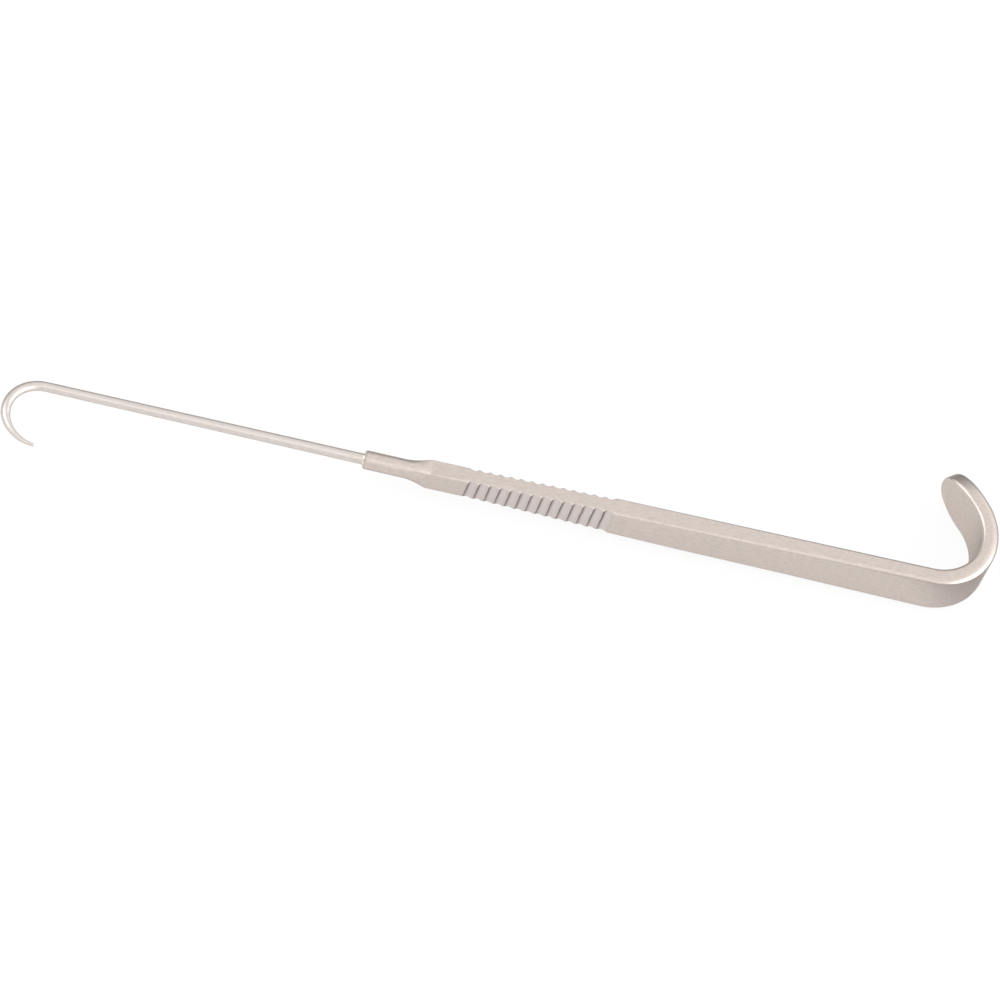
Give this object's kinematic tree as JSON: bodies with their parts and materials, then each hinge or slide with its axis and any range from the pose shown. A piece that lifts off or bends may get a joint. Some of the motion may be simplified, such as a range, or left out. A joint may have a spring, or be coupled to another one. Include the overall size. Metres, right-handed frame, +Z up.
{
  "type": "surgical hook",
  "caption": "Steel surgical hook: fine round shank bent to a blunt half-circle hook, brazed into a flat handle with a scalloped grip and a curled leaf end.",
  "frame": {"origin": "under the middle of the part, at the height of its lowest edge", "axes": "+X along the handle from the hook towards the curl, +Z up across the wide faces of the bar, the hook turns to -Y and the leaf curls to +Y"},
  "size_m": [0.1652, 0.0352, 0.0086],
  "materials": {
    "forged_steel": "satin",
    "drawn_steel": "satin",
    "silver_braze": "bright"
  },
  "bodies": {
    "root": {"handle": "forged_steel", "hook_shank": "drawn_steel", "braze_fillet": "silver_braze"}
  },
  "joints": []
}
